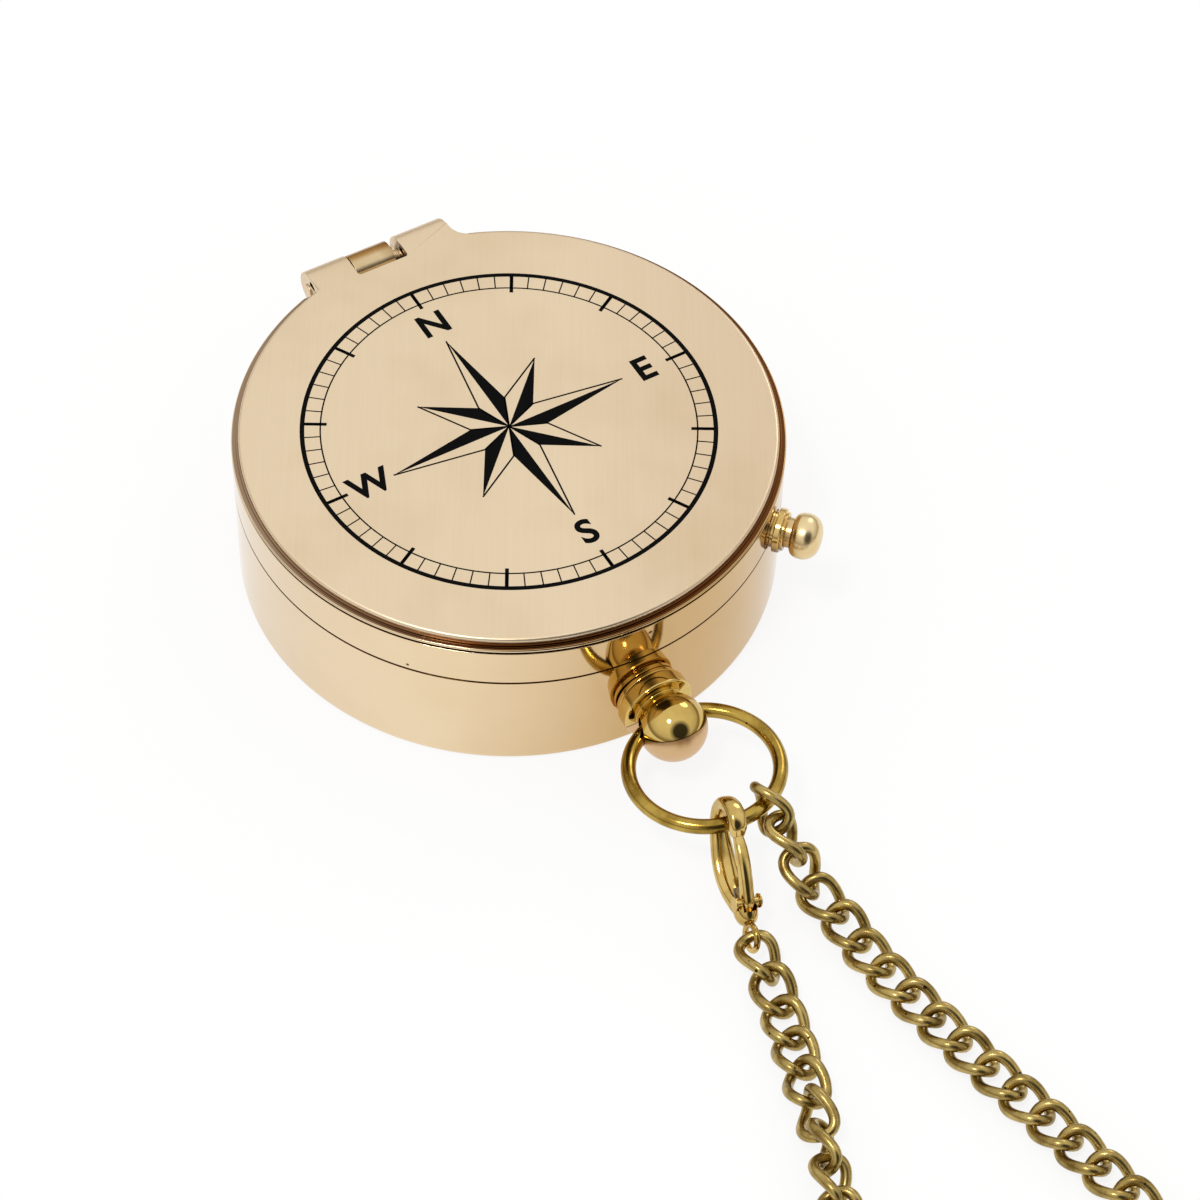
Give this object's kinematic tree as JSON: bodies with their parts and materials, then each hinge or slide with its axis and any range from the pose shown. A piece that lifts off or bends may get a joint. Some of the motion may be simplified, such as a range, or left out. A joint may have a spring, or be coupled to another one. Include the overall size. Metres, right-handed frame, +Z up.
{
  "type": "pocket compass",
  "caption": "Round brass pocket compass with a hinged lid, a push button, a bow ring and a curb chain that closes on the ring with a lobster clasp.",
  "frame": {"origin": "centre of the case's flat underside", "axes": "+Z up out of the lid, +Y towards the lid hinge, -Y towards the bow post, the bow ring and the chain"},
  "size_m": [0.05, 0.1535, 0.0163],
  "materials": {
    "case_brass": "satin brushed lid, polished wall",
    "rich_brass": "polished",
    "chain_brass": "olive patina, rubbed bright on top",
    "steel": "drawn wire and turned pins",
    "dial_paint": "matt cream paint with dark marks",
    "needle_paint": "blued, with a red north half",
    "crystal_glass": "clear and flat",
    "jewel": "polished red"
  },
  "bodies": {
    "case": {"case_body": "case_brass", "hinge_strap": "case_brass", "dial_plate": "dial_paint", "chapter_ring": "case_brass", "pivot_pin": "steel", "crystal": "crystal_glass", "bezel_ring": "case_brass", "button_bush": "rich_brass", "latch_block": "rich_brass", "button_spring": "steel", "bow_post": "rich_brass"},
    "lid": {"lid_plate": "case_brass", "lid_ring": "case_brass", "lid_hook": "rich_brass", "hinge_pin": "steel", "hinge_spring": "steel"},
    "needle": {"needle_blade": "needle_paint", "needle_hub": "rich_brass", "needle_jewel": "jewel"},
    "button": {"button_knob": "rich_brass", "latch_plate": "steel"},
    "ring": {"bow_ring": "chain_brass"},
    "clasp": {"clasp_body": "rich_brass", "clasp_rivet": "rich_brass", "clasp_spring": "steel", "chain_ring_end": "chain_brass"},
    "lever": {"clasp_lever": "rich_brass"},
    "chain_front": {"chain_near_right": "chain_brass", "chain_near_left": "chain_brass"},
    "chain_loop": {"chain_right_strand": "chain_brass", "chain_far_right": "chain_brass", "chain_far_left": "chain_brass", "chain_left_strand": "chain_brass"}
  },
  "joints": [
    {"name": "lid_hinge", "type": "hinge", "parent": "case", "child": "lid", "pos_m": [0, 0.025, 0.01455], "axis": [-1, 0, 0], "range_deg": [0, 105]},
    {"name": "needle_turn", "type": "hinge", "parent": "case", "child": "needle", "pos_m": [0, 0, 0.0069], "axis": [0, 0, 1], "continuous": true},
    {"name": "button_press", "type": "slide", "parent": "case", "child": "button", "axis": [-0.682, 0.7314, 0], "range_m": [0, 0.0005], "stiffness_N_per_m": 400},
    {"name": "ring_swing", "type": "hinge", "parent": "case", "child": "ring", "pos_m": [0, -0.0286, 0.0057], "axis": [-1, 0, 0], "range_deg": [0, 40]},
    {"name": "clasp_swing", "type": "hinge", "parent": "ring", "child": "clasp", "pos_m": [0, -0.04129, 0.0066], "axis": [-1, 0, 0], "range_deg": [-68, 0]},
    {"name": "lever_open", "type": "hinge", "parent": "clasp", "child": "lever", "pos_m": [-0.00329, -0.04747, 0.00377], "axis": [-0.9584, 0.1689, 0.23], "range_deg": [0, 15], "stiffness_Nm_per_rad": 0.0002},
    {"name": "chain_bend_front", "type": "hinge", "parent": "clasp", "child": "chain_front", "pos_m": [0, -0.0507, 0.0017], "axis": [-1, 0, 0], "range_deg": [0, 3]},
    {"name": "chain_bend_loop", "type": "hinge", "parent": "chain_front", "child": "chain_loop", "pos_m": [0, -0.0604, 0.0012], "axis": [-1, 0, 0], "range_deg": [0, 25.5]}
  ],
  "couplings": [
    {"joint": "clasp_swing", "follows": "ring_swing", "ratio": -1.7},
    {"joint": "chain_bend_front", "follows": "ring_swing", "ratio": 0.07},
    {"joint": "chain_bend_loop", "follows": "ring_swing", "ratio": 0.63}
  ]
}
